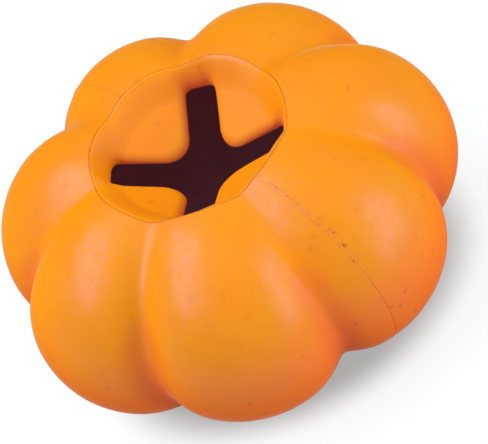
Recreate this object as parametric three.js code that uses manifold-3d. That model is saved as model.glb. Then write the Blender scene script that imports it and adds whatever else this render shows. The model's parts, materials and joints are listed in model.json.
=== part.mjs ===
// A hollow rubber treat toy for dogs, shaped like a low pumpkin with seven lobes.
// Two half shells meet on the XZ plane and trap the flange of a mouth ring under the crown.
// Four rubber flaps hinge on the ring around a cross-shaped slot that the treats pass through.
// Millimetres, +Z up, origin at the centre of the flat base, X along the parting plane.
import * as THREE from 'three';
import { mergeVertices } from 'three/addons/utils/BufferGeometryUtils.js';
import Module from 'manifold-3d';

const wasm = await Module();
wasm.setup();

// Lobed body
const LOBES = 7;
const BODY_RADIUS = 50; // over the lobe crests, at the equator
const BASE_RADIUS = 18; // flat disc that the toy stands on
const EQUATOR_HEIGHT = 25.1; // level of the widest section
const CROWN_RISE = 25.8; // from the equator up to the crests beside the mouth
const GROOVE_DEPTH = 5.8; // between two lobes, at the equator
const RIM_GROOVE_DEPTH = 1.45; // what is left of the grooves at the mouth
const GROOVE_SOFTNESS = 0.047; // roundness of a groove's bottom, where 0 would be a sharp crease
const RIM_GROOVE_SOFTNESS = 0.2; // the same at the mouth, where the lip only waves
const UPPER_GROOVE_FADE = 2.7; // how late the grooves thin out towards the mouth
const LOWER_GROOVE_FADE = 0.53; // how soon they reach full depth above the base

// Walls of the hollow
const SIDE_WALL = 7.5; // rubber behind a groove, at the equator
const FLOOR_WALL = 8;
const CAVITY_FLOOR_RADIUS = 14;

// Mouth ring and its seat
const SLOT_REACH = 19.2; // from the axis to the end of each arm of the cross
const SLOT_WIDTH = 7;
const RIM_WIDTH = 2.2; // from the end of an arm out to the seam
const DISH_DEPTH = 4.9; // from the crown down to the hinge ledge
const DISH_WALL_RUN = 4.4; // from the foot of the dish's sloping wall out to its top
const LIP_WIDTH = 0.5; // from the top of that wall out to the ring's edge
const RING_THICKNESS = 2.8; // under the hinge ledge
const FLANGE_WIDTH = 3.2; // flange that the half shells trap
const FLANGE_THICKNESS = 2.2;
const CEILING_MARGIN = 1; // flat ceiling left round the flange's seat

// Flaps
const FLAP_TIP_RADIUS = 5.5; // round inner corner of each flap, seen from above
const FLAP_ROOT_THICKNESS = 2.4;
const FLAP_TIP_THICKNESS = 1.6;
const FLAP_SLOPE = THREE.MathUtils.degToRad(29); // they dip towards the axis at rest
const FLAP_ROOT_LEAN = THREE.MathUtils.degToRad(15); // undercut of the flap's root
const SWING_IN = THREE.MathUtils.degToRad(55); // furthest that a flap is pushed in
const SWING_MARGIN = THREE.MathUtils.degToRad(3);

// Clearances
const SEAM_GAP = 0.3; // bond line round the ring
const HINGE_GAP = 0.3; // between a flap's root and the ring
const CUT_OVERRUN = 5; // how far a cutting tool runs past what it cuts

// Facets
const STEPS_PER_LOBE = 15;
const ARC_STEPS = 10;
const CAVITY_ARC_STEPS = 7;
const CAVITY_STEPS = 50;
const MOUTH_STEPS = 70;
const DISH_WALL_STEPS = 8;
const TIP_ARC_STEPS = 10;

// Sizes that follow from the ones above
const crownHeight = EQUATOR_HEIGHT + CROWN_RISE;
const mouthRadius = SLOT_REACH + RIM_WIDTH;
const ledgeHeight = crownHeight - DISH_DEPTH;
const ringBottom = ledgeHeight - RING_THICKNESS;
const ringRadius = mouthRadius - SEAM_GAP / 2;
const boreRadius = mouthRadius + SEAM_GAP / 2;
const flangeTop = ringBottom + FLANGE_THICKNESS;
const flangeRadius = mouthRadius + FLANGE_WIDTH;
const seatRadius = flangeRadius + SEAM_GAP;
const cavityRadius = BODY_RADIUS - GROOVE_DEPTH - SIDE_WALL;
const ceilingRadius = seatRadius + CEILING_MARGIN;
const toolTop = crownHeight + CUT_OVERRUN;
const toolReach = BODY_RADIUS + CUT_OVERRUN;

// The root line of a flap is the chord between the ends of two neighbouring arms.
const chordRadius = (SLOT_REACH + SLOT_WIDTH / 2) / Math.SQRT2;
const chordHalfLength = (SLOT_REACH - SLOT_WIDTH / 2) / Math.SQRT2;
const flapRootRadius = chordRadius - HINGE_GAP;
const armEdgeStart = (SLOT_WIDTH / 2) * Math.SQRT2; // where a flap's two straight edges would cross
const tipCentre = armEdgeStart + FLAP_TIP_RADIUS * Math.SQRT2;
const flapTipRadius = tipCentre - FLAP_TIP_RADIUS;

// Solids from geometry, and geometry from solids

function asSolid(geometry) {
  const bare = geometry.clone();
  bare.deleteAttribute('normal');
  bare.deleteAttribute('uv');
  const merged = mergeVertices(bare);
  const corners = Array.from(merged.index.array);
  const triangles = [];
  for (let i = 0; i < corners.length; i += 3) {
    const [a, b, c] = corners.slice(i, i + 3);
    if (a !== b && b !== c && c !== a) triangles.push(a, b, c);
  }
  return new wasm.Manifold(
    new wasm.Mesh({
      numProp: 3,
      vertProperties: new Float32Array(merged.attributes.position.array),
      triVerts: new Uint32Array(triangles),
    }),
  );
}

function asGeometry(solid) {
  const mesh = solid.getMesh();
  const geometry = new THREE.BufferGeometry();
  geometry.setAttribute('position', new THREE.BufferAttribute(mesh.vertProperties, mesh.numProp));
  geometry.setIndex(new THREE.BufferAttribute(mesh.triVerts, 1));
  geometry.computeVertexNormals();
  return geometry;
}

// A profile of [radius, height] points, from the axis round and back to it, turned about Z.
function revolve(profile, steps) {
  const points = profile.map(([radius, height]) => new THREE.Vector2(radius, height));
  return new THREE.LatheGeometry(points, steps).rotateX(Math.PI / 2);
}

function extrudeUp(shape, bottom, top) {
  const geometry = new THREE.ExtrudeGeometry(shape, {
    depth: top - bottom,
    bevelEnabled: false,
    curveSegments: TIP_ARC_STEPS,
  });
  return geometry.translate(0, 0, bottom);
}

// A section drawn in the XZ plane, as wide as asked along Y and centred on it.
function extrudeAlongY(points, width) {
  const shape = new THREE.Shape(points.map(([x, z]) => new THREE.Vector2(x, z)));
  const geometry = new THREE.ExtrudeGeometry(shape, { depth: width, bevelEnabled: false });
  return geometry.translate(0, 0, -width / 2).rotateX(Math.PI / 2);
}

// Quarter ellipse between two corners, as steps + 1 points. It leaves the first point along the radius
// when flatFirst is true, and along the height otherwise.
function quarterArc([radiusA, heightA], [radiusB, heightB], flatFirst, steps) {
  const points = [];
  for (let i = 0; i <= steps; i += 1) {
    const angle = (i / steps) * (Math.PI / 2);
    const acrossShare = flatFirst ? Math.sin(angle) : 1 - Math.cos(angle);
    const upShare = flatFirst ? 1 - Math.cos(angle) : Math.sin(angle);
    points.push([radiusA + (radiusB - radiusA) * acrossShare, heightA + (heightB - heightA) * upShare]);
  }
  return points;
}

// Slope between two corners that starts and ends level, as steps + 1 points.
function easedSlope([radiusA, heightA], [radiusB, heightB], steps) {
  const points = [];
  for (let i = 0; i <= steps; i += 1) {
    const rise = THREE.MathUtils.smoothstep(i, 0, steps);
    const radius = THREE.MathUtils.lerp(radiusA, radiusB, i / steps);
    points.push([radius, THREE.MathUtils.lerp(heightA, heightB, rise)]);
  }
  return points;
}

// Lobed outside of the body

// Outline over a lobe's crest, from the base to the mouth. Each point has its outward direction, and
// the depth and softness of the groove beside it.
function crestProfile() {
  const lowerWidth = BODY_RADIUS - BASE_RADIUS;
  const upperWidth = BODY_RADIUS - mouthRadius;
  const rows = [];
  for (let i = 0; i <= ARC_STEPS; i += 1) {
    const angle = (i / ARC_STEPS) * (Math.PI / 2);
    const outward = new THREE.Vector2(EQUATOR_HEIGHT * Math.sin(angle), -lowerWidth * Math.cos(angle));
    rows.push({
      point: [BASE_RADIUS + lowerWidth * Math.sin(angle), EQUATOR_HEIGHT * (1 - Math.cos(angle))],
      outward: outward.normalize(),
      groove: GROOVE_DEPTH * Math.sin(angle) ** LOWER_GROOVE_FADE,
      softness: GROOVE_SOFTNESS,
    });
  }
  for (let i = 1; i <= ARC_STEPS; i += 1) {
    const share = i / ARC_STEPS;
    const angle = share * (Math.PI / 2);
    const outward = new THREE.Vector2(CROWN_RISE * Math.cos(angle), upperWidth * Math.sin(angle));
    rows.push({
      point: [mouthRadius + upperWidth * Math.cos(angle), EQUATOR_HEIGHT + CROWN_RISE * Math.sin(angle)],
      outward: outward.normalize(),
      groove: THREE.MathUtils.lerp(GROOVE_DEPTH, RIM_GROOVE_DEPTH, share ** UPPER_GROOVE_FADE),
      softness: GROOVE_SOFTNESS * (RIM_GROOVE_SOFTNESS / GROOVE_SOFTNESS) ** share,
    });
  }
  return rows;
}

// 0 on a lobe's crest and 1 in the groove between two lobes, at a turn from the front of the body.
function grooveShare(turn, softness) {
  const ridge = Math.cos((LOBES * turn) / 2) ** 2;
  const level = Math.log((ridge + softness) / (1 + softness));
  return level / Math.log(softness / (1 + softness));
}

// The crest outline is turned about the axis, then each point sinks by its groove's depth there.
function lobedBody() {
  const rows = crestProfile();
  const profile = [[0, 0], ...rows.map((row) => row.point), [0, crownHeight]];
  const geometry = revolve(profile, LOBES * STEPS_PER_LOBE);
  const position = geometry.attributes.position;
  for (let i = 0; i < position.count; i += 1) {
    const row = rows[(i % profile.length) - 1];
    if (row) {
      const column = Math.floor(i / profile.length);
      const turn = (column / (LOBES * STEPS_PER_LOBE)) * 2 * Math.PI;
      const sink = row.groove * grooveShare(turn, row.softness);
      const radius = row.point[0] - row.outward.x * sink;
      const height = row.point[1] - row.outward.y * sink;
      position.setXYZ(i, radius * Math.sin(turn), -radius * Math.cos(turn), height);
    }
  }
  return asSolid(geometry);
}

// Cutting tools

function cavity() {
  const floorEdge = [CAVITY_FLOOR_RADIUS, FLOOR_WALL];
  const widest = [cavityRadius, EQUATOR_HEIGHT];
  const ceilingEdge = [ceilingRadius, ringBottom];
  const lower = quarterArc(floorEdge, widest, true, CAVITY_ARC_STEPS);
  const upper = quarterArc(widest, ceilingEdge, false, CAVITY_ARC_STEPS);
  const profile = [[0, FLOOR_WALL], ...lower, ...upper.slice(1), [0, ringBottom]];
  return asSolid(revolve(profile, CAVITY_STEPS));
}

// Bore for the ring, with the seat of its flange open to the cavity below.
function mouthSeat() {
  const bottom = ringBottom - CUT_OVERRUN;
  const profile = [
    [0, bottom],
    [seatRadius, bottom],
    [seatRadius, flangeTop],
    [boreRadius, flangeTop],
    [boreRadius, toolTop],
    [0, toolTop],
  ];
  return asSolid(revolve(profile, MOUTH_STEPS));
}

function halfSpace(side) {
  const box = new THREE.BoxGeometry(2 * toolReach, toolReach, 2 * toolReach);
  return asSolid(box.translate(0, (side * toolReach) / 2, 0));
}

// Hollow above the hinge ledge, with a wall that slopes up to the lip.
function dish() {
  const lipRadius = ringRadius - LIP_WIDTH;
  const wallFoot = [lipRadius - DISH_WALL_RUN, ledgeHeight];
  const wall = easedSlope(wallFoot, [lipRadius, crownHeight], DISH_WALL_STEPS);
  const profile = [[0, ledgeHeight], ...wall, [lipRadius, toolTop], [0, toolTop]];
  return asSolid(revolve(profile, MOUTH_STEPS));
}

// Both arms of the cross, on the diagonals.
function crossSlot() {
  const height = toolTop - (ringBottom - CUT_OVERRUN);
  const arm = new THREE.BoxGeometry(2 * SLOT_REACH, SLOT_WIDTH, height);
  arm.translate(0, 0, toolTop - height / 2);
  const first = arm.clone().rotateZ(Math.PI / 4);
  const second = arm.clone().rotateZ(-Math.PI / 4);
  return asSolid(first).add(asSolid(second));
}

// Opening of the ring on one axis. Below the ledge its two ends lean back, so that a flap can swing in.
function flapOpening() {
  const bottom = ringBottom - CUT_OVERRUN;
  const lean = Math.tan(SWING_IN + SWING_MARGIN - FLAP_ROOT_LEAN);
  const bottomRadius = chordRadius + (ledgeHeight - bottom) * lean;
  const section = [
    [-bottomRadius, bottom],
    [bottomRadius, bottom],
    [chordRadius, ledgeHeight],
    [chordRadius, toolTop],
    [-chordRadius, toolTop],
    [-chordRadius, ledgeHeight],
  ];
  return extrudeAlongY(section, 2 * chordHalfLength);
}

// Pieces

function halfShell(shell, side) {
  return asGeometry(shell.intersect(halfSpace(side)));
}

function mouthRing(body) {
  const profile = [
    [0, ringBottom],
    [flangeRadius, ringBottom],
    [flangeRadius, flangeTop],
    [ringRadius, flangeTop],
    [ringRadius, toolTop],
    [0, toolTop],
  ];
  const blank = asSolid(revolve(profile, MOUTH_STEPS)).intersect(body);
  const opening = flapOpening();
  const turned = opening.clone().rotateZ(Math.PI / 2);
  const cuts = [dish(), crossSlot(), asSolid(opening), asSolid(turned)];
  return asGeometry(cuts.reduce((ring, cut) => ring.subtract(cut), blank));
}

// Quarter of the cross seen from above: straight edges along two arms, a round tip and a straight root.
function flapOutline() {
  const tangent = FLAP_TIP_RADIUS / Math.SQRT2;
  const rootHalfLength = flapRootRadius - armEdgeStart;
  const outline = new THREE.Shape();
  outline.moveTo(flapRootRadius, -rootHalfLength);
  outline.lineTo(flapRootRadius, rootHalfLength);
  outline.lineTo(tipCentre - tangent, tangent);
  outline.absarc(tipCentre, 0, FLAP_TIP_RADIUS, (3 * Math.PI) / 4, (5 * Math.PI) / 4, false);
  outline.closePath();
  return outline;
}

// Section through a flap on the XZ plane: a plate that dips and thins towards its tip, with a root that
// is undercut below the hinge line.
function flapSection() {
  const slope = Math.tan(FLAP_SLOPE);
  const run = flapRootRadius - flapTipRadius;
  const thinning = (FLAP_ROOT_THICKNESS - FLAP_TIP_THICKNESS) / run;
  const underSlope = slope - thinning;
  const rootDrop = FLAP_ROOT_THICKNESS / (1 - Math.tan(FLAP_ROOT_LEAN) * underSlope);
  const overrun = run + CUT_OVERRUN;
  return [
    [flapRootRadius, ledgeHeight],
    [flapRootRadius - overrun, ledgeHeight - overrun * slope],
    [flapRootRadius - overrun, ledgeHeight - FLAP_ROOT_THICKNESS - overrun * underSlope],
    [flapRootRadius - rootDrop * Math.tan(FLAP_ROOT_LEAN), ledgeHeight - rootDrop],
  ];
}

function flap() {
  const plate = asSolid(extrudeAlongY(flapSection(), 2 * chordRadius));
  return asGeometry(plate.intersect(asSolid(extrudeUp(flapOutline(), 0, toolTop))));
}

// Assembly

const RUBBER = { color: '#f7941f', roughness: 0.5, metalness: 0 };

function namedMesh(name, geometry) {
  const mesh = new THREE.Mesh(geometry, new THREE.MeshStandardMaterial(RUBBER));
  mesh.name = name;
  return mesh;
}

function buildToy() {
  const toy = new THREE.Group();
  const body = lobedBody();
  const shell = body.subtract(cavity()).subtract(mouthSeat());
  toy.add(namedMesh('front_half_shell', halfShell(shell, -1)));
  toy.add(namedMesh('rear_half_shell', halfShell(shell, 1)));
  toy.add(namedMesh('mouth_ring', mouthRing(body)));
  ['flap_right', 'flap_rear', 'flap_left', 'flap_front'].forEach((name, quarter) => {
    const mesh = namedMesh(name, flap());
    mesh.rotation.z = (quarter * Math.PI) / 2;
    toy.add(mesh);
  });
  return toy;
}

export default buildToy();
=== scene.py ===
import json
import math

import bmesh
import bpy
import numpy as np
from mathutils import Matrix, Quaternion, Vector


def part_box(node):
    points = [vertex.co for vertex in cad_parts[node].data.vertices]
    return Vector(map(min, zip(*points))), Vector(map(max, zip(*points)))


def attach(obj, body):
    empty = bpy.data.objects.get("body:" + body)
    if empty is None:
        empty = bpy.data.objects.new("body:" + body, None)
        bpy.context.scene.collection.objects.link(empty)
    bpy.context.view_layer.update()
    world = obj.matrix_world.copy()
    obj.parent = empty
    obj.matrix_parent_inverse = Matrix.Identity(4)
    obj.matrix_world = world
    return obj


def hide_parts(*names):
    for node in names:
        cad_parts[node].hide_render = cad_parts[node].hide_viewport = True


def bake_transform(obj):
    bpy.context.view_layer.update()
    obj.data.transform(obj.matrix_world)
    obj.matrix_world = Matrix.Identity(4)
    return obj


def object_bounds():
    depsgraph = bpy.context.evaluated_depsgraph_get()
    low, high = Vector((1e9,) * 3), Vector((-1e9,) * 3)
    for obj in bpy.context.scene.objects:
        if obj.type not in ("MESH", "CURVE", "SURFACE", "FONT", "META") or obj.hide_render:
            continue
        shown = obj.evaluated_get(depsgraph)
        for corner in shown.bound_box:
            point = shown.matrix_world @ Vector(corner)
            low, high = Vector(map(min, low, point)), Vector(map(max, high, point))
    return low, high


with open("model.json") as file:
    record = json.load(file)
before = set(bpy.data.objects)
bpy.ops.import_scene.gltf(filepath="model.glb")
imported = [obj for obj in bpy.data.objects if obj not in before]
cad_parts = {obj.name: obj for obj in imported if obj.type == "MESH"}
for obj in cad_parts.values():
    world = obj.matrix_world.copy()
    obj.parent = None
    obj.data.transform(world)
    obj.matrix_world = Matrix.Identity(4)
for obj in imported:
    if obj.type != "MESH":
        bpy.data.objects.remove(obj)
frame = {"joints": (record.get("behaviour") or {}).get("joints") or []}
cad_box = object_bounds()

# A hollow rubber treat toy shaped like a low pumpkin. Sizes are in millimetres and become metres when a
# mesh is made. The parting plane of the two half shells is y = 0, and a turn of 0 is the front, at -Y.
MM = 0.001

# Sizes of the body that the frame gives
BODY_RADIUS = -cad_box[0].y / MM
CROWN_HEIGHT = cad_box[1].z / MM
RING_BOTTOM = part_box("mouth_ring")[0].z / MM
HINGES = {joint["child"]: joint for joint in frame["joints"]}
HINGE_RADIUS = HINGES["right_flap"]["pos_m"][0] / MM
LEDGE_HEIGHT = HINGES["right_flap"]["pos_m"][2] / MM

# Lobed outside. The grooves get shallower and softer towards the mouth.
LOBES = 7
BASE_RADIUS = 18
EQUATOR_HEIGHT = 25.1
GROOVE_DEPTH = 5.8
RIM_GROOVE_DEPTH = 1.45
GROOVE_SOFTNESS = 0.047
RIM_GROOVE_SOFTNESS = 0.2
UPPER_GROOVE_FADE = 2.7
LOWER_GROOVE_FADE = 0.53
# Below these heights the groove mark is full: the grooves are painted redder there as shade, and their gloss
# is weaker.
GROOVE_TINT_TOP = 49
GROOVE_TINT_FULL = 35

# Hollow
CAVITY_RADIUS = 36.7
CAVITY_FLOOR_RADIUS = 14
FLOOR_WALL = 8
CEILING_RADIUS = 25.9

# Mouth: the ring with its flange, and the seam where it meets the half shells. Edges and sides are the levels
# at which a mark starts and is full. The levels of a side are cosines of the turn from its middle.
MOUTH_RADIUS = 21.4
FLANGE_RADIUS = 24.6
FLANGE_TOP = 45.4
FLANGE_GAP = 0.02
SEAT_RADIUS = 24.9
NECK_STEP = 2
WALL_FOOT = 16.2
WALL_TOP = 23.0
DULL_RUN = 1.6
SEAM_EDGE = 0.08
SEAM_HALF_GAP = 0.02
SEAM_MARK_ROWS = 3
SEAM_MARK_TURN = math.radians(95)
# Painted shade: the seam's gap is painted as a red line all round, broken into dashes on the right.
SEAM_SHADE_RED = 0.35
SEAM_SHADE_DASHES = 60
SEAM_DASH_SHADE_RED = 0.55
SEAM_DASH_EDGES = (0.3, 0.6)
SEAM_DASH_SIDE = (0.35, 0.75)
RING_SEAM_SHADE_RED = 0.4
RING_SEAM_WIDTH = 0.1
SEAM_BEAD_HEIGHT = 0.09
SEAM_BEAD_INSET = 0.42
SEAM_BEAD_WIDTH = 0.2
SEAM_BEAD_TURN = math.radians(217)
SEAM_BEAD_RUN = 9

# Mouth: the slot and the four flaps round it
SLOT_REACH = 19.2
SLOT_HALF_WIDTH = 3.5
SLOT_FILLET = 2.0
FLAP_TIP_RADIUS = 5.5
FLAP_SLOPE = math.radians(29)
FLAP_UNDER_SLOPE = 0.46
FLAP_UNDER_START = 15.0
FLAP_CUT = 14.6
HINGE_KNEE = 0.5
TOP_EDGE_RADIUS = 1.4
BOTTOM_EDGE_RADIUS = 0.4
ARM_END_TOP_RADIUS = 2.6
ARM_END_BOTTOM_RADIUS = 1.2
# Painted shade: the slot's edges are painted redder with depth, much less at the arm that the light reaches.
RED_DEPTH = 2.4
RING_RED = 0.55
LIT_ARM_TURN = math.radians(225)
LIT_ARM_SIDE = (0.5, 0.9)
LIT_ARM_SHARE = 0.85

# Gentle waves of the skin, which end above the flat base
UNEVEN_SEED = 11
UNEVEN_HEIGHT = 0.045
UNEVEN_WAVES = 14
SHORTEST_WAVE = 6
LONGEST_WAVE = 20
EVEN_BASE = 5

# Line that the mould left on the parting plane. On the right it is a drifting bead with tears, dashes and
# flecks, and a crease below. On the left it is a plain bead, with a fainter crease along the whole line.
# A tear has a height, a side and a size.
FLASH_SEED = 5
FLASH_BEAD_END = 34
FLASH_BEAD_FULL = 38
FLASH_FADE_START = 48.3
FLASH_FADE_END = 49.9
FLASH_FADE = 0.75
FLASH_WIDTH = 0.26
FLASH_HEIGHT = 0.055
FLASH_DRIFT = 0.9
FLASH_BENDS = 14
FLASH_BREAKS = 80
FLASH_BREAK_EDGES = (0.25, 0.7)
FLASH_LEAST = 0.15
FLASH_TEARS = [(43.1, 1, 0.6), (40.7, 1, 0.5), (37.8, 0, 0.36)]
DASHES = 70
DASH_EDGES = (0.55, 0.8)
DASH_DEPTH = 0.5
DASH_OFFSET = 0.35
DASH_WIDTH = 0.2
FLECKS = 170
FLECK_EDGES = (0.4, 0.7)
FLECK_START = 46.5
FLECK_FULL = 48.5
FLECK_RED = 0.6
FLECK_WIDTH = 0.25
LEFT_BEAD_WIDTH = 0.3
LEFT_BEAD_HEIGHT = 0.2
PIT_DEPTH = 0.10
CREASE_WIDTH = 0.12
CREASE_DEPTH = 0.10
CREASE_RED = 0.55
CREASE_ON_LEFT = 0.5
FLASH_BASE_RUN = 6

# Fineness of the meshes
LOWER_ROWS = 96
UPPER_ROWS = 110
BY_SEAM_ROWS = 9
BY_SEAM_ANGLE = 0.03
SEAM_EDGE_ROWS = 7
CAVITY_ROWS = 24
BASE_RINGS = [0, 5, 10, 14, 16.5]
PARTING_STEPS = [0, 0.05, 0.11, 0.18, 0.26, 0.36, 0.48, 0.64, 0.85, 1.1, 1.45, 1.9]
SHELL_COLUMNS = 230
FILLET_STEPS = 14
ARM_END_STEPS = 9
TIP_STEPS = 49
FLAP_SIDE_STEPS = 40
ROOT_STEPS = 71
OUTLINE_SPACING = 0.06
OUTLINE_CHUNK = 400
RING_RIM_SHARE = 0.1
RING_RIM_ROWS = 12
RING_ROWS = 40
RING_LOW_STEP = 3
FLAP_ROWS = 34
ROW_EASE = 1.8
EDGE_WALL_ROWS = 4
ROOT_WALL_ROWS = 2
MERGE_DISTANCE = 0.002
THIN_EDGE = 0.001
SHARP_ANGLE = math.radians(50)

# Values per point that the rubber material reads
MARKS = ["groove", "flash", "bead", "seam", "depth", "dish"]

# Rubber, in linear colours
ORANGE = (0.97, 0.325, 0.004, 1)
WARM_ORANGE = (0.96, 0.30, 0.004, 1)
# Painted shade: a redder orange low down, where less light falls.
LOW_SHADE_ORANGE = (0.96, 0.205, 0.014, 1)
PINKISH = (0.95, 0.33, 0.04, 1)
# Painted shade: red in the grooves.
GROOVE_SHADE_RED = (0.80, 0.09, 0.05, 1)
# Painted shade: browner at the bottom, more so in the grooves.
BOTTOM_SHADE_BROWN = (0.60, 0.13, 0.05, 1)
SPECK_RED = (0.76, 0.14, 0.02, 1)
# Red of the mould line's pits, tears and creases, also used as painted shade along the seam.
PIT_AND_SEAM_SHADE_RED = (0.58, 0.09, 0.03, 1)
# Painted light: the raised bead inside the seam is painted lighter and yellower along its line.
SEAM_BEAD_LIGHT_YELLOW = (0.97, 0.36, 0.003, 1)
FLASH_PINK = (0.88, 0.23, 0.08, 1)
# Painted shade: the red deep in the slot.
SLOT_SHADE_RED = (0.92, 0.20, 0.05, 1)
GLOSS_TINT = (0.5, 0.5, 1.0, 1)
# Painted shade: the hollow's rubber is dark maroon, darker still on its floor, in place of the shade inside
# it.
HOLLOW_SHADE_MAROON = (0.66, 0.33, 0.44, 1)
HOLLOW_SHADE_BROWN = (0.60, 0.29, 0.39, 1)
HOLLOW_FLOOR_SHADE = (0.15, 0.06, 0.075, 1)

# Pattern of the rubber. Edges are the noise levels between which a pattern sets in.
CLOUD_SIZE = 14
CLOUD_EDGES = (0.35, 0.65)
GRAIN_SIZE = 0.7
GRAIN_EDGES = (0.5, 0.75)
GRAIN_SHARE = 0.25
# Painted shade: heights and shares of the redder, browner rubber low down, in the grooves and at the bottom.
LOW_START = 40
LOW_FULL = 20
GROOVE_EDGES = (0.45, 0.95)
GROOVE_SHADE_SHARE = 0.32
BOTTOM_START = 32
BOTTOM_FULL = 11
BOTTOM_SHARE = 0.35
SPECK_START = 42
SPECK_FULL = 18
SPECK_LEAST = 0.25
PATCH_SIZE = 7
PATCH_EDGES = (0.42, 0.56)
PATCH_LEAST = 0.1
SPOT_SHARE = 0.9
DOT_SHARE = 0.2
SMEAR_SIZE = 3.4
SMEAR_EDGES = (0.66, 0.8)
SMEAR_SHARE = 0.3
RAGGED_SIZE = 0.55
RAGGED_EDGES = (0.36, 0.6)
BEAD_SHARE = 0.7
SEAM_SHARE = 0.8
PIT_AND_SEAM_SHADE_SHARE = 0.85
SLOT_RED_FULL = 0.6
WOBBLE_SIZE = 1.1
WOBBLE_REACH = 2.2
HOLLOW_CLOUD_SIZE = 9
HOLLOW_CLOUD_EDGES = (0.3, 0.7)
HOLLOW_FLOOR_START = 8.6
HOLLOW_FLOOR_FULL = 8.1

# Gloss of the rubber. Facing runs from 0, where the skin faces the viewer, to 1 at its outline.
GLOSS_FACING = (0.25, 0.55)
FRONT_GLOSS = 0.42
SIDE_GLOSS = 0.05
RIM_FACING = (0.72, 0.95)
RIM_GLOSS = 0.45
GROOVE_GLOSS_EDGES = (0.2, 0.8)
GROOVE_GLOSS = 0.5
MOTTLE_SIZE = 1.3
MOTTLE_EDGES = (0.35, 0.65)
MOTTLE_RANGE = (0.8, 1.2)
SHEEN = 0.2
SHEEN_ROUGHNESS = 0.18
SATIN_SIZE = 3.0
SATIN_EDGES = (0.3, 0.7)
SATIN_RANGE = (0.29, 0.40)
DISH_ROUGHNESS = 0.3
DUSTY_FACING = (0.38, 0.8)
DUSTY_ROUGHNESS = 0.42
FINE_SIZE = 0.5
BUMP_STRENGTH = 0.3
BUMP_HEIGHT = 0.08
HOLLOW_ROUGHNESS = 0.7

# Studio. The floor's painted shadow is an oval, and its runs are in half widths of the oval.
WHITE = (1, 1, 1, 1)
FLOOR_HALF_WIDTH = 3000
FLOOR_GREY = (0.78, 0.78, 0.78, 1)
FLOOR_DARK = (0.16, 0.16, 0.16, 1)
# The floor's glow is a little blue, to cancel the orange light that the toy throws on it.
FLOOR_LIFT = (0.85, 0.88, 0.885, 1)
FLOOR_ROUGHNESS = 0.9
SHADOW_CENTRE = (5, 0)
SHADOW_HALF_WIDTHS = (45, 37)
SHADOW_RUN = (0.73, 1.03)
NEAR_LIFT = 0.43
FAR_LIFT = 0.97
SHADOW_TAIL_RUN = (0.75, 1.6)
SHADOW_TAIL_LIFT = 0.07
GLOSSY_LIFT = 0.3
FILL_STRENGTH = 0.305
SOFTBOX_DISTANCE = 1200

# Camera, from the photograph
CAMERA_AZIMUTH = math.radians(68.43)
CAMERA_ELEVATION = math.radians(44.95)
CAMERA_ROLL = math.radians(-29.87)
CAMERA_DISTANCE = 883.5
CAMERA_LENS = 314.2
SENSOR_WIDTH = 36
AIM_HEIGHT = 25.13
AIM_RIGHT = 2.72
AIM_UP = -1.79


# Numbers


def smoothstep(low, high, value):
    share = np.clip((value - low) / (high - low), 0, 1)
    return share * share * (3 - 2 * share)


def bell(value, width):
    """1 at a value of 0, falling softly to 0 on both sides."""
    return np.exp(-((value / width) ** 2))


def rounding(distance, radius):
    """How far a rounded edge has dropped at a distance from the edge."""
    short = np.clip(radius - distance, 0, radius)
    return radius - np.sqrt(radius**2 - short**2)


def softened_ramp(value, knee):
    """0 for low values and the value itself for high ones, with a soft bend between."""
    return knee * np.logaddexp(0, value / knee)


def wander(seed, knots, share):
    """A seeded wavy number from 0 to 1 along a line, where share runs from 0 to 1."""
    heights = np.random.default_rng(seed).random(knots + 1)
    place = np.clip(share, 0, 1) * knots
    left = np.minimum(place.astype(int), knots - 1)
    blend = smoothstep(0, 1, place - left)
    return heights[left] * (1 - blend) + heights[left + 1] * blend


def unevenness(points):
    """Gentle seeded waves over the surface, about -1 to 1."""
    random = np.random.default_rng(UNEVEN_SEED)
    total = np.zeros(points.shape[:-1])
    for _ in range(UNEVEN_WAVES):
        direction = random.normal(size=3)
        direction /= np.linalg.norm(direction)
        wave_length = random.uniform(SHORTEST_WAVE, LONGEST_WAVE)
        phase = random.uniform(0, 2 * math.pi)
        total += np.sin(points @ direction * 2 * math.pi / wave_length + phase)
    return total / math.sqrt(UNEVEN_WAVES)


# Meshes


def grid_faces(rows, columns, close_rows=False, close_columns=False):
    """Quads of a grid of points, whose last row or column may join the first."""
    index = np.arange(rows * columns).reshape(rows, columns)
    if close_rows:
        index = np.vstack([index, index[:1]])
    if close_columns:
        index = np.hstack([index, index[:, :1]])
    corners = [index[:-1, :-1], index[1:, :-1], index[1:, 1:], index[:-1, 1:]]
    return np.stack(corners, axis=-1).reshape(-1, 4)


def make_piece(name, points, faces, face_materials, materials, **marks):
    """A smooth closed mesh from a grid of points in millimetres. A mark that isn't given is 0 all over."""
    mesh = bpy.data.meshes.new(name)
    mesh.from_pydata(points.reshape(-1, 3) * MM, [], [list(face) for face in faces])
    for material in materials:
        mesh.materials.append(material)
    mesh.polygons.foreach_set("material_index", np.asarray(face_materials, dtype=np.int32))
    for title in MARKS:
        values = np.broadcast_to(marks.get(title, 0.0), points.shape[:2])
        layer = mesh.attributes.new(title, "FLOAT", "POINT")
        layer.data.foreach_set("value", values.astype(np.float32).ravel())
    shape = bmesh.new()
    shape.from_mesh(mesh)
    bmesh.ops.remove_doubles(shape, verts=shape.verts, dist=MERGE_DISTANCE * MM)
    bmesh.ops.dissolve_degenerate(shape, edges=shape.edges, dist=THIN_EDGE * MM)
    bmesh.ops.recalc_face_normals(shape, faces=shape.faces)
    shape.to_mesh(mesh)
    shape.free()
    mesh.shade_smooth()
    mesh.set_sharp_from_angle(angle=SHARP_ANGLE)
    piece = bpy.data.objects.new(name, mesh)
    bpy.context.scene.collection.objects.link(piece)
    return piece


# Half shells


def groove_share(turn, softness):
    """0 on a lobe's crest and 1 in the groove between two lobes."""
    ridge = np.cos(LOBES * turn / 2) ** 2
    level = np.log((ridge + softness) / (1 + softness))
    return level / np.log(softness / (1 + softness))


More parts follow.
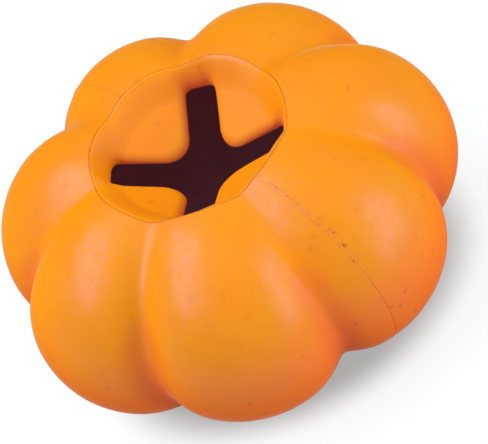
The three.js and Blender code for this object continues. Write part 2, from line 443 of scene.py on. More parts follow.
def row_table(radius, height, out_radius, out_height, groove, softness, skin):
    """Rows of a turned profile: place, outward direction, depth and softness of grooves, 1 on the skin."""
    columns = np.broadcast_arrays(radius, height, out_radius, out_height, groove, softness, skin)
    return np.stack(columns, axis=1).astype(float)


def plain_rows(points):
    """Rows of a turned profile without grooves, off the skin."""
    radius, height = np.array(points, dtype=float).T
    return row_table(radius, height, 0.0, 0.0, 0.0, 1.0, 0.0)


def lower_skin():
    """Outside from the base to the widest ring, a quarter of an ellipse."""
    angle = np.linspace(0, math.pi / 2, LOWER_ROWS)
    width = BODY_RADIUS - BASE_RADIUS
    out_radius = EQUATOR_HEIGHT * np.sin(angle)
    out_height = -width * np.cos(angle)
    length = np.hypot(out_radius, out_height)
    return row_table(
        BASE_RADIUS + width * np.sin(angle),
        EQUATOR_HEIGHT * (1 - np.cos(angle)),
        out_radius / length,
        out_height / length,
        GROOVE_DEPTH * np.sin(angle) ** LOWER_GROOVE_FADE,
        GROOVE_SOFTNESS,
        1.0,
    )


def upper_skin(seam_radius):
    """Outside from the widest ring to the seam, most of a quarter of an ellipse."""
    width = BODY_RADIUS - MOUTH_RADIUS
    rise = CROWN_HEIGHT - EQUATOR_HEIGHT
    by_seam = math.acos((seam_radius + SEAM_EDGE - MOUTH_RADIUS) / width) - BY_SEAM_ANGLE
    far_rows = np.linspace(0, by_seam, UPPER_ROWS)[1:]
    near_rows = by_seam + np.linspace(0, BY_SEAM_ANGLE, BY_SEAM_ROWS)[1:]
    angle = np.concatenate([far_rows, near_rows])
    out_radius = rise * np.cos(angle)
    out_height = width * np.sin(angle)
    length = np.hypot(out_radius, out_height)
    share = angle / (math.pi / 2)
    return row_table(
        MOUTH_RADIUS + width * np.cos(angle),
        EQUATOR_HEIGHT + rise * np.sin(angle),
        out_radius / length,
        out_height / length,
        GROOVE_DEPTH + (RIM_GROOVE_DEPTH - GROOVE_DEPTH) * share**UPPER_GROOVE_FADE,
        GROOVE_SOFTNESS * (RIM_GROOVE_SOFTNESS / GROOVE_SOFTNESS) ** share,
        1.0,
    )


def seam_rows(seam_radius, start_row):
    """The small round edge from the skin's last row into the bore, with the same grooves."""
    _, start_height, _, _, groove, softness, _ = start_row
    angle = np.linspace(0, math.pi / 2, SEAM_EDGE_ROWS)[1:]
    return row_table(
        seam_radius + SEAM_EDGE * (1 - np.sin(angle)),
        start_height - SEAM_EDGE * (1 - np.cos(angle)),
        0.0,
        1.0,
        groove,
        softness,
        0.0,
    )


def quarter_arc(start, end, flat_first):
    """A quarter of an ellipse between two points of a profile, which starts level or upright."""
    angle = np.linspace(0, math.pi / 2, CAVITY_ROWS)
    across = np.sin(angle) if flat_first else 1 - np.cos(angle)
    up = 1 - np.cos(angle) if flat_first else np.sin(angle)
    radius = start[0] + (end[0] - start[0]) * across
    height = start[1] + (end[1] - start[1]) * up
    return list(zip(radius, height))


def cavity_rows():
    """Wall of the hollow from its ceiling to the middle of its floor."""
    widest = (CAVITY_RADIUS, EQUATOR_HEIGHT)
    ceiling_edge = (CEILING_RADIUS, RING_BOTTOM)
    floor_edge = (CAVITY_FLOOR_RADIUS, FLOOR_WALL)
    upper = quarter_arc(ceiling_edge, widest, True)
    lower = quarter_arc(widest, floor_edge, False)
    return plain_rows(upper + lower[1:] + [(CAVITY_FLOOR_RADIUS / 2, FLOOR_WALL), (0, FLOOR_WALL)])


def shell_rows():
    """Profile of a half shell from base to hollow, and the row counts at the ends of skin, seam and seat."""
    bore = MOUTH_RADIUS + SEAM_HALF_GAP
    base = row_table(np.array(BASE_RINGS), 0.0, 0.0, -1.0, 0.0, 1.0, 0.0)
    skin = np.vstack([lower_skin(), upper_skin(bore)])
    seam = seam_rows(bore, skin[-1])
    seat = plain_rows(
        [
            (bore, FLANGE_TOP + NECK_STEP),
            (bore, FLANGE_TOP),
            (SEAT_RADIUS, FLANGE_TOP),
            (SEAT_RADIUS, RING_BOTTOM),
        ]
    )
    skin_end = len(base) + len(skin)
    seam_end = skin_end + len(seam)
    seat_end = seam_end + len(seat)
    return np.vstack([base, skin, seam, seat, cavity_rows()]), skin_end, seam_end, seat_end


def shell_columns():
    """Turns of half a body, closer together beside the parting plane."""
    close = np.array(PARTING_STEPS) / BODY_RADIUS
    middle = np.linspace(close[-1], math.pi - close[-1], SHELL_COLUMNS)[1:-1]
    return np.concatenate([close, middle, math.pi - close[::-1]]) - math.pi / 2


def flash_relief(height, offset, right_side):
    """Relief of the line along the parting plane, how pink its bead is and how red its pits are."""
    share = np.clip(height / CROWN_HEIGHT, 0, 1)
    upper = smoothstep(FLASH_BEAD_END, FLASH_BEAD_FULL, height)
    right = np.where(right_side, upper, 0.0)
    left = np.where(right_side, 0.0, upper)
    from_line = offset - FLASH_DRIFT * right * wander(FLASH_SEED + 2, FLASH_BENDS, share)
    clear = right * (1 - FLASH_FADE * smoothstep(FLASH_FADE_START, FLASH_FADE_END, height))
    unbroken = smoothstep(*FLASH_BREAK_EDGES, wander(FLASH_SEED, FLASH_BREAKS, share))
    bead = clear * (FLASH_LEAST + (1 - FLASH_LEAST) * unbroken) * bell(from_line, FLASH_WIDTH)
    tears = np.zeros_like(bead)
    for place, side, size in FLASH_TEARS:
        tear = bell(height - place, size) * bell(from_line - side * size, size)
        tears = np.maximum(tears, np.where(right_side, tear, 0.0))
    dashes = clear * smoothstep(*DASH_EDGES, wander(FLASH_SEED + 1, DASHES, share))
    dashes = DASH_DEPTH * dashes * bell(np.abs(from_line) - DASH_OFFSET, DASH_WIDTH)
    flecks = np.where(right_side, smoothstep(FLECK_START, FLECK_FULL, height), 0.0)
    flecks = flecks * smoothstep(*FLECK_EDGES, wander(FLASH_SEED + 4, FLECKS, share))
    flecks = FLECK_RED * flecks * bell(from_line, FLECK_WIDTH)
    crease = (1 - right) * np.where(right_side, 1.0, CREASE_ON_LEFT) * bell(offset, CREASE_WIDTH)
    raised = FLASH_HEIGHT * bead + LEFT_BEAD_HEIGHT * left * bell(offset, LEFT_BEAD_WIDTH)
    relief = raised - PIT_DEPTH * (tears + dashes) - CREASE_DEPTH * crease
    pits = np.clip(np.maximum(tears + dashes + flecks, CREASE_RED * crease), 0, 1)
    return relief, bead, pits


def seam_marks(row_count, turn, skin_end, seam_end):
    """Rows beside the ring's seam, and how red they are: a thin line of painted shade all round, in dashes on
    the right.
    """
    row = np.arange(row_count)[:, None]
    last_skin_row = skin_end - 1
    at_seam = smoothstep(last_skin_row - SEAM_MARK_ROWS, last_skin_row, row) * (row < seam_end)
    to_right = smoothstep(*SEAM_DASH_SIDE, np.cos(turn - SEAM_MARK_TURN))
    around = (turn % (2 * math.pi)) / (2 * math.pi)
    dashed = smoothstep(*SEAM_DASH_EDGES, wander(FLASH_SEED + 3, SEAM_SHADE_DASHES, around))
    return at_seam, at_seam * (SEAM_SHADE_RED + SEAM_DASH_SHADE_RED * to_right * dashed)[None, :]


def half_shell(name, node, first_turn, materials):
    rows, skin_end, seam_end, seat_end = shell_rows()
    turn = first_turn + shell_columns()
    radius, height, out_radius, out_height, groove, softness, on_skin = rows.T[..., None]
    share = groove_share(turn[None, :], softness)
    radius = radius - out_radius * groove * share
    height = height - out_height * groove * share
    sine, cosine = np.sin(turn)[None, :], np.cos(turn)[None, :]
    points = np.stack([radius * sine, -radius * cosine, height], axis=-1)
    outward = np.stack([out_radius * sine, -out_radius * cosine, out_height * np.ones_like(sine)], axis=-1)
    relief = UNEVEN_HEIGHT * unevenness(points) * smoothstep(0, EVEN_BASE, height)
    flash, bead, pits = flash_relief(height, points[..., 1], points[..., 0] > 0)
    flash = flash * smoothstep(BASE_RADIUS, BASE_RADIUS + FLASH_BASE_RUN, radius)
    points = points + outward * ((relief + flash) * on_skin)[..., None]
    row_count, column_count = points.shape[:2]
    index = np.arange(row_count * column_count).reshape(row_count, column_count)
    faces = [*grid_faces(row_count, column_count), index[:, 0], index[:, -1]]
    in_hollow = np.arange(row_count - 1) >= seat_end - 1
    face_materials = [*np.repeat(in_hollow, column_count - 1), 0, 0]
    at_seam, seam_red = seam_marks(row_count, turn, skin_end, seam_end)
    piece = make_piece(
        name,
        points,
        faces,
        face_materials,
        materials,
        groove=share * on_skin * smoothstep(GROOVE_TINT_TOP, GROOVE_TINT_FULL, height),
        flash=np.maximum(pits, seam_red) * np.maximum(on_skin, at_seam),
        bead=bead * on_skin,
    )
    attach(piece, "toy_body")
    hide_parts(node)


# Mouth


def arm_end_path():
    """Plan of the end of the slot's arm at 45 degrees, from one flap's cut line to the next."""
    corner = np.array([SLOT_REACH - SLOT_FILLET, SLOT_HALF_WIDTH - SLOT_FILLET])
    angle = np.linspace(0, math.pi / 2, FILLET_STEPS)
    fillet = corner + SLOT_FILLET * np.stack([np.sin(angle), np.cos(angle)], axis=1)
    cut = (FLAP_CUT * math.sqrt(2) - SLOT_HALF_WIDTH, SLOT_HALF_WIDTH)
    end = [(SLOT_REACH, across) for across in np.linspace(corner[1], 0, ARM_END_STEPS)[1:]]
    half = np.array([cut, *fillet, *end])
    whole = np.vstack([half, (half * [1, -1])[-2::-1]])
    along, across = whole.T
    return np.stack([along + across, along - across], axis=1) / math.sqrt(2)


def flap_edge_path():
    """Plan of the free edge of the flap at +X, from its cut line round the tip and back."""
    edge_start = SLOT_HALF_WIDTH * math.sqrt(2)
    tip_centre = edge_start + FLAP_TIP_RADIUS * math.sqrt(2)
    tangent = FLAP_TIP_RADIUS / math.sqrt(2)
    angle = np.linspace(1.25, 0.75, TIP_STEPS) * math.pi
    tip = np.stack([tip_centre + FLAP_TIP_RADIUS * np.cos(angle), FLAP_TIP_RADIUS * np.sin(angle)], axis=1)
    share = np.linspace(0, 1, FLAP_SIDE_STEPS)[:-1, None]
    first = np.array([FLAP_CUT, edge_start - FLAP_CUT])
    straight = first + (np.array([tip_centre - tangent, -tangent]) - first) * share
    return np.vstack([straight, tip, (straight * [1, -1])[::-1]])


def quarter_turn(quarter):
    """Matrix that turns rows of plan points by a number of quarters."""
    cosine, sine = round(math.cos(quarter * math.pi / 2)), round(math.sin(quarter * math.pi / 2))
    return np.array([[cosine, sine], [-sine, cosine]])


def four_quarters(path):
    """Four copies of a plan path, one for each quarter."""
    return [path @ quarter_turn(quarter) for quarter in range(4)]


def dense(path):
    """The path with points added, so that none lie further apart than the spacing."""
    pieces = []
    for start, end in zip(path[:-1], path[1:]):
        count = max(1, int(np.ceil(np.linalg.norm(end - start) / OUTLINE_SPACING)))
        pieces.append(start + (end - start) * np.linspace(0, 1, count, endpoint=False)[:, None])
    return np.vstack(pieces + [path[-1:]])


SLOT_OUTLINE = np.vstack(four_quarters(dense(flap_edge_path())) + four_quarters(dense(arm_end_path())))


def distance_to_slot(plan):
    """Distance from each plan point to the slot's outline."""
    flat = plan.reshape(-1, 2)
    nearest = [
        np.sqrt(((chunk[:, None, :] - SLOT_OUTLINE[None]) ** 2).sum(-1).min(1))
        for chunk in np.array_split(flat, max(1, len(flat) // OUTLINE_CHUNK))
    ]
    return np.concatenate(nearest).reshape(plan.shape[:-1])


def mouth_heights(plan):
    """Top and bottom of the ring and flaps with their edges rounded, and the top without."""
    x, y = plan[..., 0], plan[..., 1]
    reach = np.maximum(np.abs(x), np.abs(y))
    radius = np.hypot(x, y)
    rim = CROWN_HEIGHT - RIM_GROOVE_DEPTH * groove_share(np.arctan2(x, -y), RIM_GROOVE_SOFTNESS)
    slope = LEDGE_HEIGHT + (reach - HINGE_RADIUS) * math.tan(FLAP_SLOPE)
    climb = smoothstep(WALL_FOOT, WALL_TOP, radius) / smoothstep(WALL_FOOT, WALL_TOP, MOUTH_RADIUS)
    top = slope + (rim - slope) * climb
    at_arm_end = smoothstep(SLOT_REACH - SLOT_FILLET, SLOT_REACH, radius)
    under_slope = FLAP_UNDER_SLOPE * (1 - at_arm_end)
    bottom = RING_BOTTOM - softened_ramp(FLAP_UNDER_START - reach, HINGE_KNEE) * under_slope
    to_slot = distance_to_slot(plan)
    top_radius = TOP_EDGE_RADIUS + (ARM_END_TOP_RADIUS - TOP_EDGE_RADIUS) * at_arm_end
    bottom_radius = BOTTOM_EDGE_RADIUS + (ARM_END_BOTTOM_RADIUS - BOTTOM_EDGE_RADIUS) * at_arm_end
    return top - rounding(to_slot, top_radius), bottom + rounding(to_slot, bottom_radius), top


def eased_rows(count):
    """Shares from 0 to 1 that get closer together."""
    return 1 - (1 - np.linspace(0, 1, count)) ** ROW_EASE


def at_height(plan, height):
    """Points in space from points of the plan."""
    return np.concatenate([plan, np.broadcast_to(height, plan.shape[:-1])[..., None]], axis=-1)


def wall_rows(top_row, bottom_row, count):
    """Rows of a wall between two edges, without the edges."""
    share = np.linspace(0, 1, count + 2)[1:-1, None, None]
    return top_row[None] * (1 - share) + bottom_row[None] * share


def depth_below(sharp_top, points):
    """0 on the unrounded top and 1 where the rubber is painted red as shade, deep in the slot."""
    return np.clip((sharp_top - points[..., 2]) / RED_DEPTH, 0, 1)


def ring_inner_path():
    """Plan of the ring's inner edge: the four flap roots and the four arm ends between them."""
    root_end = FLAP_CUT - SLOT_HALF_WIDTH * math.sqrt(2)
    across = np.linspace(-root_end, root_end, ROOT_STEPS)[1:-1]
    root = np.stack([np.full_like(across, FLAP_CUT), across], axis=1)
    pairs = zip(four_quarters(root), four_quarters(arm_end_path()))
    return np.vstack([part for pair in pairs for part in pair])


def ring_plan(inner, outer):
    """Plan of the ring's top rows, which lie closer together beside its seam and beside the slot."""
    rim_rows = np.linspace(0, RING_RIM_SHARE, RING_RIM_ROWS)
    other_rows = RING_RIM_SHARE + (1 - RING_RIM_SHARE) * eased_rows(RING_ROWS)[1:]
    share = np.concatenate([rim_rows, other_rows])[:, None, None]
    return outer[None] + (inner - outer)[None] * share


def ring_outside(outer, flange):
    """Rows from below the flange up to the neck under the seam."""
    return np.stack(
        [
            at_height(flange, RING_BOTTOM),
            at_height(flange, FLANGE_TOP - FLANGE_GAP),
            at_height(outer, FLANGE_TOP - FLANGE_GAP),
            at_height(outer, FLANGE_TOP + NECK_STEP),
        ]
    )


def ring_relief(plan, top, seam_bead):
    """Waves of the ring's top, and the bead along its seam, which rises on one side only."""
    to_bead = np.array([math.cos(SEAM_BEAD_TURN), math.sin(SEAM_BEAD_TURN)])
    bead_height = SEAM_BEAD_HEIGHT * smoothstep(0, SEAM_BEAD_RUN, plan @ to_bead)
    return UNEVEN_HEIGHT * unevenness(at_height(plan, top)) + bead_height * seam_bead


def ring_marks(points, sharp_top, inset, seam_bead):
    """Seam's red line of painted shade and its yellow bead of painted light, the slot's edges reddened as
    painted shade except at the lit arm, and the dull dish.
    """
    hidden_rows = len(points) - len(sharp_top)
    unmarked = np.zeros((hidden_rows, points.shape[1]))
    over = np.concatenate([sharp_top, np.repeat(sharp_top[-1:], hidden_rows, 0)])
    x, y = points[..., 0], points[..., 1]
    lit_arm = smoothstep(*LIT_ARM_SIDE, np.cos(np.arctan2(y, x) - LIT_ARM_TURN))
    return {
        "flash": np.concatenate([RING_SEAM_SHADE_RED * bell(inset, RING_SEAM_WIDTH), unmarked]),
        "seam": np.concatenate([seam_bead, unmarked]),
        "depth": depth_below(over, points) * RING_RED * (1 - LIT_ARM_SHARE * lit_arm),
        "dish": smoothstep(MOUTH_RADIUS, MOUTH_RADIUS - DULL_RUN, np.hypot(x, y)),
    }


def mouth_ring(materials):
    inner = ring_inner_path()
    outward = inner / np.linalg.norm(inner, axis=1)[:, None]
    ring_radius = MOUTH_RADIUS - SEAM_HALF_GAP
    outer = outward * ring_radius
    plan = ring_plan(inner, outer)
    inset = ring_radius - np.hypot(plan[..., 0], plan[..., 1])
    seam_bead = bell(inset - SEAM_BEAD_INSET, SEAM_BEAD_WIDTH)
    top, bottom, sharp_top = mouth_heights(plan)
    top = top - rounding(inset, SEAM_EDGE)
    top_rows = at_height(plan, top + ring_relief(plan, top, seam_bead))
    low_rows = at_height(plan[::-1][::RING_LOW_STEP], bottom[::-1][::RING_LOW_STEP])
    inner_wall = wall_rows(top_rows[-1], low_rows[0], EDGE_WALL_ROWS)
    outer_rows = ring_outside(outer, outward * FLANGE_RADIUS)
    points = np.concatenate([top_rows, inner_wall, low_rows, outer_rows])
    faces = grid_faces(*points.shape[:2], close_rows=True, close_columns=True)
    marks = ring_marks(points, sharp_top, inset, seam_bead)
    piece = make_piece("mouth_ring_rubber", points, faces, np.zeros(len(faces)), materials, **marks)
    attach(piece, "toy_body")
    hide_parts("mouth_ring")


def flap_points():
    """Closed grid of the flap at +X: its top from the cut line to the edge, and its underside back."""
    edge = flap_edge_path()
    share = eased_rows(FLAP_ROWS)[:, None]
    along = FLAP_CUT + (edge[:, 0] - FLAP_CUT) * share
    plan = np.stack([along, edge[:, 1] * np.ones_like(share)], axis=-1)
    top, bottom, sharp_top = mouth_heights(plan)
    top_rows = at_height(plan, top)
    low_rows = at_height(plan[::-1], bottom[::-1])
    edge_wall = wall_rows(top_rows[-1], low_rows[0], EDGE_WALL_ROWS)
    root_wall = wall_rows(low_rows[-1], top_rows[0], ROOT_WALL_ROWS)
    points = np.concatenate([top_rows, edge_wall, low_rows, root_wall])
    over_edge = np.repeat(sharp_top[-1:], EDGE_WALL_ROWS, 0)
    over_root = np.repeat(sharp_top[:1], ROOT_WALL_ROWS, 0)
    over = np.concatenate([sharp_top, over_edge, sharp_top[::-1], over_root])
    return points, depth_below(over, points)


def flap(name, node, quarter, materials):
    points, depth = flap_points()
    turn = quarter_turn(quarter)
    points[..., :2] = points[..., :2] @ turn
    points[:FLAP_ROWS, :, 2] += UNEVEN_HEIGHT * unevenness(points[:FLAP_ROWS])
    faces = grid_faces(*points.shape[:2], close_rows=True)
    piece = make_piece(name, points, faces, np.zeros(len(faces)), materials, depth=depth, dish=1.0)
    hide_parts(node)
    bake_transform(piece)


# Materials


class NodeKit:
    """Short calls for the node tree of one material."""

    def __init__(self, name):
        self.material = bpy.data.materials.new(name)
        self.material.use_nodes = True
        self.nodes = self.material.node_tree.nodes
        self.links = self.material.node_tree.links
        self.shader = self.nodes["Principled BSDF"]
        self.place = self.add("TexCoord").outputs["Object"]

    def add(self, kind, **settings):
        node = self.nodes.new("ShaderNode" + kind)
        for title, value in settings.items():
            setattr(node, title, value)
        return node

    def join(self, source, target):
        if isinstance(source, (int, float, tuple)):
            target.default_value = source
        else:
            self.links.new(source, target)

    def shade(self, **values):
        """Sets inputs of the shader, named with _ for a space."""
        for title, value in values.items():
            self.join(value, self.shader.inputs[title.replace("_", " ")])

    def math(self, operation, *values):
        node = self.add("Math", operation=operation)
        for value, socket in zip(values, node.inputs):
            self.join(value, socket)
        return node.outputs[0]

    def product(self, first, *others):
        for other in others:
            first = self.math("MULTIPLY", first, other)
        return first

    def ramp(self, value, low, high, to_low=0.0, to_high=1.0):
        """Smooth step of a value from one range to another."""
        node = self.add("MapRange", interpolation_type="SMOOTHSTEP")
        self.join(value, node.inputs["Value"])
        node.inputs["From Min"].default_value = low
        node.inputs["From Max"].default_value = high
        node.inputs["To Min"].default_value = to_low
        node.inputs["To Max"].default_value = to_high
        return node.outputs["Result"]

    def tint(self, factor, under, over):
        """Mix of two colours, where a factor of 1 gives the second."""
        node = self.add("Mix", data_type="RGBA")
        self.join(factor, node.inputs[0])
        self.join(under, node.inputs[6])
        self.join(over, node.inputs[7])
        return node.outputs[2]

    def noise(self, place, size, detail):
        node = self.add("TexNoise")
        self.join(place, node.inputs["Vector"])
        node.inputs["Scale"].default_value = 1 / (size * MM)
        node.inputs["Detail"].default_value = detail
        return node

    def clouds(self, place, size, edges, to_low=0.0, to_high=1.0, detail=2.0):
        """Smooth step of noise, between two of its levels, to a range."""
        return self.ramp(self.noise(place, size, detail).outputs["Fac"], *edges, to_low, to_high)

    def mark(self, title):
        return self.add("Attribute", attribute_name=title).outputs["Fac"]

    def height(self):
        apart = self.add("SeparateXYZ")
        self.join(self.place, apart.inputs[0])
        return apart.outputs[2]

    def specks(self, place, cell, chance, radius, softness):
        """Soft spots of random size, one in some of the cells of a grid this wide."""
        node = self.add("TexVoronoi")
        self.join(place, node.inputs["Vector"])
        node.inputs["Scale"].default_value = 1 / (cell * MM)
        random = self.add("SeparateColor")
        self.join(node.outputs["Color"], random.inputs[0])
        size = self.ramp(random.outputs[0], 1 - chance, 1 - chance / 2, 0.0, radius)
        inside = self.math("SUBTRACT", size, node.outputs["Distance"])
        return self.ramp(inside, 0.0, softness)


def wobbled_place(kit):
    """Object coordinates, bent a little so that spots aren't round."""
    bend = kit.noise(kit.place, WOBBLE_SIZE, detail=3.0)
    scaled = kit.add("VectorMath", operation="MULTIPLY_ADD")
    kit.join(bend.outputs["Color"], scaled.inputs[0])
    scaled.inputs[1].default_value = (WOBBLE_REACH * MM,) * 3
    kit.join(kit.place, scaled.inputs[2])
    return scaled.outputs[0]


def plain_colour(kit, height):
    """Cloudy orange, with painted shade: redder low down and in the grooves, and browner at the bottom."""
    cloudy = kit.clouds(kit.place, CLOUD_SIZE, CLOUD_EDGES, detail=3.0)
    grainy = kit.clouds(kit.place, GRAIN_SIZE, GRAIN_EDGES, 0.0, GRAIN_SHARE, detail=4.0)
    low = kit.ramp(height, LOW_START * MM, LOW_FULL * MM)
    groove = kit.ramp(kit.mark("groove"), *GROOVE_EDGES)
    bottom = kit.ramp(height, BOTTOM_START * MM, BOTTOM_FULL * MM, 0.0, BOTTOM_SHARE)
    bottom = kit.math("MULTIPLY_ADD", bottom, groove, bottom)
    colour = kit.tint(cloudy, ORANGE, WARM_ORANGE)
    colour = kit.tint(grainy, colour, PINKISH)
    colour = kit.tint(low, colour, LOW_SHADE_ORANGE)
    colour = kit.tint(kit.product(groove, GROOVE_SHADE_SHARE), colour, GROOVE_SHADE_RED)
    return kit.tint(bottom, colour, BOTTOM_SHADE_BROWN)


def red_spots(kit, wobbled, lower):
    """Soft red-brown spots in patches, mostly low down."""
    patches = kit.clouds(kit.place, PATCH_SIZE, PATCH_EDGES, PATCH_LEAST, 1.0)
    spots = kit.specks(wobbled, cell=3.6, chance=0.8, radius=0.25, softness=0.19)
    return kit.product(spots, lower, patches)


def speckled(kit, colour, wobbled, lower, spots):
    """The colour with small dots, larger spots and smears."""
    dots = kit.specks(wobbled, cell=2.4, chance=0.45, radius=0.18, softness=0.14)
    smears = kit.clouds(wobbled, SMEAR_SIZE, SMEAR_EDGES, 0.0, SMEAR_SHARE)
    colour = kit.tint(kit.product(dots, lower, DOT_SHARE), colour, SPECK_RED)
    colour = kit.tint(kit.product(spots, SPOT_SHARE), colour, SPECK_RED)
    return kit.tint(smears, colour, SPECK_RED)


def moulding_marks(kit, colour):
    """The colour with the mould's line, the ring's seam with its painted shade and light, and the painted
    shade inside the slot.
    """
    ragged = kit.clouds(kit.place, RAGGED_SIZE, RAGGED_EDGES, detail=3.0)
    deep = kit.ramp(kit.mark("depth"), 0.0, SLOT_RED_FULL)
    colour = kit.tint(kit.product(kit.mark("bead"), ragged, BEAD_SHARE), colour, FLASH_PINK)
    colour = kit.tint(kit.product(kit.mark("seam"), SEAM_SHARE), colour, SEAM_BEAD_LIGHT_YELLOW)
    colour = kit.tint(kit.product(kit.mark("flash"), ragged, PIT_AND_SEAM_SHADE_SHARE), colour, PIT_AND_SEAM_SHADE_RED)
    return kit.tint(deep, colour, SLOT_SHADE_RED)


def satin_gloss(kit):
    """Mottled gloss that is weak on the lobes' sides and in the grooves, with a thin rim and dusty sheen."""
    facing = kit.add("LayerWeight").outputs["Facing"]
    level = kit.ramp(facing, *GLOSS_FACING, FRONT_GLOSS, SIDE_GLOSS)
    polish = kit.ramp(kit.mark("groove"), *GROOVE_GLOSS_EDGES, 1.0, GROOVE_GLOSS)
    mottled = kit.clouds(kit.place, MOTTLE_SIZE, MOTTLE_EDGES, *MOTTLE_RANGE, detail=4.0)
    rim = kit.ramp(facing, *RIM_FACING, 0.0, RIM_GLOSS)
    satin = kit.clouds(kit.place, SATIN_SIZE, SATIN_EDGES, *SATIN_RANGE, detail=4.0)
    dull = kit.product(kit.mark("dish"), DISH_ROUGHNESS)
    dusty = kit.ramp(facing, *DUSTY_FACING, 0.0, DUSTY_ROUGHNESS)
    kit.shade(
        Specular_IOR_Level=kit.math("ADD", kit.product(level, polish, mottled), rim),
        Specular_Tint=GLOSS_TINT,
        Sheen_Weight=kit.ramp(kit.mark("dish"), 0.0, 1.0, SHEEN, 0.0),
        Sheen_Roughness=SHEEN_ROUGHNESS,
        Roughness=kit.math("ADD", satin, kit.math("ADD", dull, dusty)),
    )


def orange_rubber():
    kit = NodeKit("moulded_rubber")
    height = kit.height()
    wobbled = wobbled_place(kit)
    lower = kit.ramp(height, SPECK_START * MM, SPECK_FULL * MM, SPECK_LEAST, 1.0)
    spots = red_spots(kit, wobbled, lower)
    colour = speckled(kit, plain_colour(kit, height), wobbled, lower, spots)
    satin_gloss(kit)
    fine = kit.noise(kit.place, FINE_SIZE, detail=3.0).outputs["Fac"]
    bump = kit.add("Bump")
    bump.inputs["Strength"].default_value = BUMP_STRENGTH
    bump.inputs["Distance"].default_value = BUMP_HEIGHT * MM
    kit.join(kit.math("SUBTRACT", fine, spots), bump.inputs["Height"])
    kit.shade(Base_Color=moulding_marks(kit, colour), Normal=bump.outputs["Normal"])
    return kit.material


# Painted shade: the inside of the hollow is coloured dark, where only shade falls.
def cavity_shade_rubber():
    kit = NodeKit("hollow_painted_shade")
    cloudy = kit.clouds(kit.place, HOLLOW_CLOUD_SIZE, HOLLOW_CLOUD_EDGES, detail=4.0)
    on_floor = kit.ramp(kit.height(), HOLLOW_FLOOR_START * MM, HOLLOW_FLOOR_FULL * MM)
    colour = kit.tint(on_floor, kit.tint(cloudy, HOLLOW_SHADE_BROWN, HOLLOW_SHADE_MAROON), HOLLOW_FLOOR_SHADE)
    kit.shade(Base_Color=colour, Roughness=HOLLOW_ROUGHNESS)
    return kit.material


# Setting


def floor_material():
    """Paper that is pale to soft light, glows white to the camera and glows faintly in reflections.

    By the toy the glow dims to a grey oval with a faint wider tail, a painted shadow.
    """
    kit = NodeKit("floor_white")
    path = kit.add("LightPath")
    mirrored = kit.product(path.outputs["Is Glossy Ray"], GLOSSY_LIFT)
    seen = kit.math("MAXIMUM", path.outputs["Is Camera Ray"], mirrored)
    seen = kit.math("MAXIMUM", seen, path.outputs["Is Transmission Ray"])
    oval = kit.add("Mapping", vector_type="TEXTURE")
    kit.join(kit.place, oval.inputs["Vector"])
    oval.inputs["Location"].default_value = (SHADOW_CENTRE[0] * MM, SHADOW_CENTRE[1] * MM, 0)
    oval.inputs["Rotation"].default_value = (0, 0, CAMERA_AZIMUTH)
    oval.inputs["Scale"].default_value = (SHADOW_HALF_WIDTHS[0] * MM, SHADOW_HALF_WIDTHS[1] * MM, 1)
    reach = kit.add("VectorMath", operation="LENGTH")
    kit.join(oval.outputs[0], reach.inputs[0])
    shadow = kit.ramp(reach.outputs["Value"], *SHADOW_RUN, NEAR_LIFT, FAR_LIFT)
    shadow_tail = kit.ramp(reach.outputs["Value"], *SHADOW_TAIL_RUN, 0.0, SHADOW_TAIL_LIFT)
    kit.shade(
        Base_Color=kit.tint(path.outputs["Is Diffuse Ray"], FLOOR_DARK, FLOOR_GREY),
        Roughness=FLOOR_ROUGHNESS,
        Specular_IOR_Level=0.0,
        Emission_Color=FLOOR_LIFT,
        Emission_Strength=kit.product(seen, kit.math("ADD", shadow, shadow_tail)),
    )
    return kit.material


def floor():
    mesh = bpy.data.meshes.new("floor")
    half = FLOOR_HALF_WIDTH * MM
    corners = [(-half, -half, 0), (half, -half, 0), (half, half, 0), (-half, half, 0)]
    mesh.from_pydata(corners, [], [(0, 1, 2, 3)])
    mesh.materials.append(floor_material())
    plane = bpy.data.objects.new("floor", mesh)
    bpy.context.scene.collection.objects.link(plane)


def world_light():
    """Weak fill all round, with a plain white background for the camera."""
    world = bpy.data.worlds.new("studio")
    world.use_nodes = True
    nodes, links = world.node_tree.nodes, world.node_tree.links
    background = nodes["Background"]
    background.inputs["Color"].default_value = WHITE
    path = nodes.new("ShaderNodeLightPath")
    strength = nodes.new("ShaderNodeMapRange")
    strength.inputs["To Min"].default_value = FILL_STRENGTH
    strength.inputs["To Max"].default_value = 1.0
    links.new(path.outputs["Is Camera Ray"], strength.inputs["Value"])
    links.new(strength.outputs["Result"], background.inputs["Strength"])
    bpy.context.scene.world = world


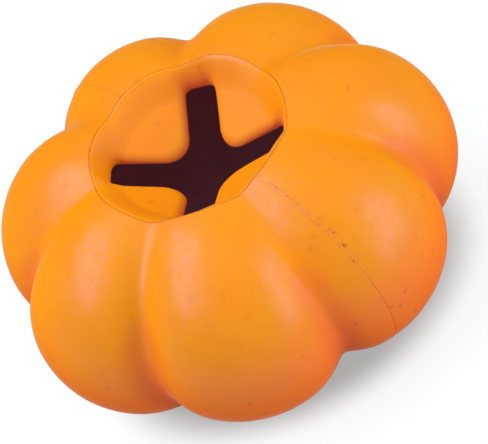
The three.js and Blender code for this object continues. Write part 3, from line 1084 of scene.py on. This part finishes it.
def softbox(name, turn_from_camera, elevation, width, height, power, lean):
    """An area lamp aimed at the toy, placed by its turn to the right of the camera and its elevation.

    Its top leans to the left, as seen from the toy, by the angle lean.
    """
    towards = CAMERA_AZIMUTH - math.pi / 2 + math.radians(turn_from_camera)
    rise = math.radians(elevation)
    direction = Vector(
        (
            math.cos(towards) * math.cos(rise),
            math.sin(towards) * math.cos(rise),
            math.sin(rise),
        )
    )
    lamp = bpy.data.lights.new(name, "AREA")
    lamp.shape = "RECTANGLE"
    lamp.size = width * MM
    lamp.size_y = height * MM
    lamp.energy = power
    holder = bpy.data.objects.new(name, lamp)
    holder.location = Vector((0, 0, AIM_HEIGHT * MM)) + direction * SOFTBOX_DISTANCE * MM
    aimed = direction.to_track_quat("Z", "Y") @ Quaternion((0, 0, 1), -math.radians(lean))
    holder.rotation_euler = aimed.to_euler()
    bpy.context.scene.collection.objects.link(holder)


def lights():
    world_light()
    softbox("left_softbox", turn_from_camera=-108, elevation=56, width=640, height=1300, power=11.6, lean=-75)
    softbox("right_softbox", turn_from_camera=58, elevation=12, width=600, height=1300, power=11.4, lean=40)
    softbox("top_softbox", turn_from_camera=0, elevation=89, width=1000, height=1000, power=0.9, lean=0)


def camera():
    back = Vector(
        (
            math.sin(CAMERA_AZIMUTH) * math.cos(CAMERA_ELEVATION),
            -math.cos(CAMERA_AZIMUTH) * math.cos(CAMERA_ELEVATION),
            math.sin(CAMERA_ELEVATION),
        )
    )
    level = Vector((math.cos(CAMERA_AZIMUTH), math.sin(CAMERA_AZIMUTH), 0))
    upright = back.cross(level)
    right = math.cos(CAMERA_ROLL) * level + math.sin(CAMERA_ROLL) * upright
    up = -math.sin(CAMERA_ROLL) * level + math.cos(CAMERA_ROLL) * upright
    aim = Vector((0, 0, AIM_HEIGHT)) + AIM_RIGHT * right + AIM_UP * up
    lens = bpy.data.cameras.new("photo_camera")
    lens.lens = CAMERA_LENS
    lens.sensor_width = SENSOR_WIDTH
    viewer = bpy.data.objects.new("photo_camera", lens)
    facing = Matrix((right, up, back)).transposed().to_4x4()
    viewer.matrix_world = Matrix.Translation((aim + CAMERA_DISTANCE * back) * MM) @ facing
    bpy.context.scene.collection.objects.link(viewer)
    bpy.context.scene.camera = viewer


scene = bpy.context.scene
scene.view_settings.view_transform = "Standard"
rubbers = [orange_rubber(), cavity_shade_rubber()]
half_shell("front_shell", "front_half_shell", 0.0, rubbers)
half_shell("rear_shell", "rear_half_shell", math.pi, rubbers)
mouth_ring(rubbers)
for quarter, side in enumerate(["right", "rear", "left", "front"]):
    flap(f"{side}_flap_rubber", f"flap_{side}", quarter, rubbers)
floor()
lights()
camera()
